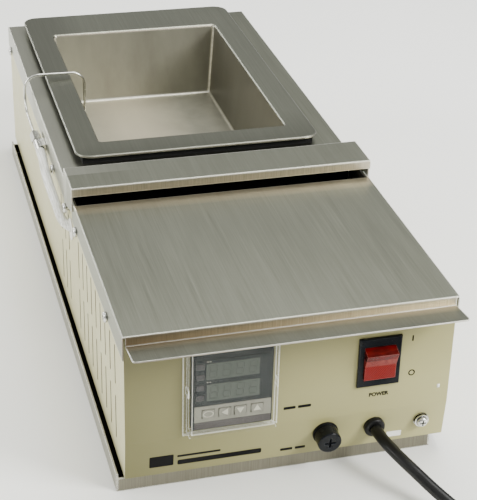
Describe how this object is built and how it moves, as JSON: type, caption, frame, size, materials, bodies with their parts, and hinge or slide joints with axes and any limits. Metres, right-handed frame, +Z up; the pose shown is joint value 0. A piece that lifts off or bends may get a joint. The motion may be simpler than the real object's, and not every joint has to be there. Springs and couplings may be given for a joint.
{
  "type": "electric solder pot",
  "caption": "Long bench-top solder pot: heated steel tank at the rear with a dipping probe, and a digital controller, rocker switch and fuse in front.",
  "frame": {"origin": "on the plane the tray stands on, under the middle of the case", "axes": "+X the object's right seen from its front, +Y from the controls to the tank, +Z up"},
  "size_m": [0.2996, 0.69, 0.1208],
  "materials": {
    "stainless": "satin",
    "tray_steel": "satin",
    "tank_steel": "satin",
    "inner_steel": "satin",
    "cream_paint": "semi-gloss",
    "zinc": "polished",
    "probe_steel": "polished",
    "black_plastic": "satin",
    "gloss_black": "gloss",
    "grey_plastic": "satin",
    "dark_window": "gloss",
    "clear_plastic": "gloss",
    "red_plastic": "gloss",
    "white_braid": "woven",
    "ceramic_fibre": "matte",
    "black_fibre": "matte",
    "mica": "matte",
    "cord_rubber": "satin",
    "white_rubber": "matte",
    "brass": "bright",
    "aluminium": "satin",
    "fuse_glass": "gloss",
    "wire": "satin"
  },
  "bodies": {
    "case": {"base_tray": "tray_steel", "tray_spacers": "zinc", "floor_plate": "inner_steel", "case_shell": "cream_paint", "front_panel": "cream_paint", "rear_cover": "stainless", "front_cover": "stainless", "vent_hood": "stainless", "cover_screws": "zinc", "partition_wall": "inner_steel", "partition_grommet": "white_rubber", "solder_tank": "tank_steel", "tank_seal": "black_fibre", "heat_jacket": "inner_steel", "jacket_feet": "zinc", "insulation_ring": "ceramic_fibre", "insulation_slab": "ceramic_fibre", "heater_strips": "mica", "heater_clamp": "inner_steel", "heater_leads": "white_braid", "thermocouple_probe": "probe_steel", "probe_fitting": "probe_steel", "probe_bracket": "zinc", "lead_sleeve": "white_braid", "sleeve_grommet": "white_rubber", "controller_housing": "black_plastic", "controller_front": "black_plastic", "display_window": "dark_window", "key_strip": "grey_plastic", "controller_clamp": "black_plastic", "switch_body": "gloss_black", "switch_terminals": "brass", "fuse_holder": "black_plastic", "fuse_nut": "black_plastic", "cord_bushing": "black_plastic", "ground_washers": "zinc", "ground_screw": "zinc", "ground_nut": "zinc", "heat_sink": "aluminium", "solid_state_relay": "black_plastic", "terminal_block": "black_plastic", "control_wires": "wire", "power_cord": "cord_rubber", "cord_coil": "cord_rubber", "coil_tie": "black_plastic", "plug_body": "cord_rubber", "plug_blades": "brass", "cord_tail": "cord_rubber"},
    "rocker": {"switch_rocker": "red_plastic"},
    "guard": {"clear_cover": "clear_plastic"},
    "set_key": {"key_set": "grey_plastic"},
    "shift_key": {"key_shift": "grey_plastic"},
    "down_key": {"key_down": "grey_plastic"},
    "up_key": {"key_up": "grey_plastic"},
    "fuse_drawer": {"fuse_carrier": "black_plastic", "glass_fuse": "fuse_glass"},
    "fuse_cap": {"fuse_cap": "gloss_black"}
  },
  "joints": [
    {"name": "switch_tip", "type": "hinge", "parent": "case", "child": "rocker", "pos_m": [0.0527, -0.2405, 0.071], "axis": [-1, 0, 0], "range_deg": [0, 22]},
    {"name": "guard_pull", "type": "slide", "parent": "case", "child": "guard", "axis": [0, -1, 0], "range_m": [0, 0.03]},
    {"name": "fuse_pull", "type": "slide", "parent": "case", "child": "fuse_drawer", "axis": [0, -0.9952, -0.0976], "range_m": [0, 0.04]},
    {"name": "cap_turn", "type": "hinge", "parent": "fuse_drawer", "child": "fuse_cap", "pos_m": [0.0225, -0.24187, 0.0235], "axis": [0, -0.9952, -0.0976], "range_deg": [0, 90]},
    {"name": "set_press", "type": "slide", "parent": "case", "child": "set_key", "axis": [0, 1, 0], "range_m": [0, 0.0004], "stiffness_N_per_m": 200, "springref_m": -0.0002},
    {"name": "shift_press", "type": "slide", "parent": "case", "child": "shift_key", "axis": [0, 1, 0], "range_m": [0, 0.0004], "stiffness_N_per_m": 200, "springref_m": -0.0002},
    {"name": "down_press", "type": "slide", "parent": "case", "child": "down_key", "axis": [0, 1, 0], "range_m": [0, 0.0004], "stiffness_N_per_m": 200, "springref_m": -0.0002},
    {"name": "up_press", "type": "slide", "parent": "case", "child": "up_key", "axis": [0, 1, 0], "range_m": [0, 0.0004], "stiffness_N_per_m": 200, "springref_m": -0.0002}
  ]
}
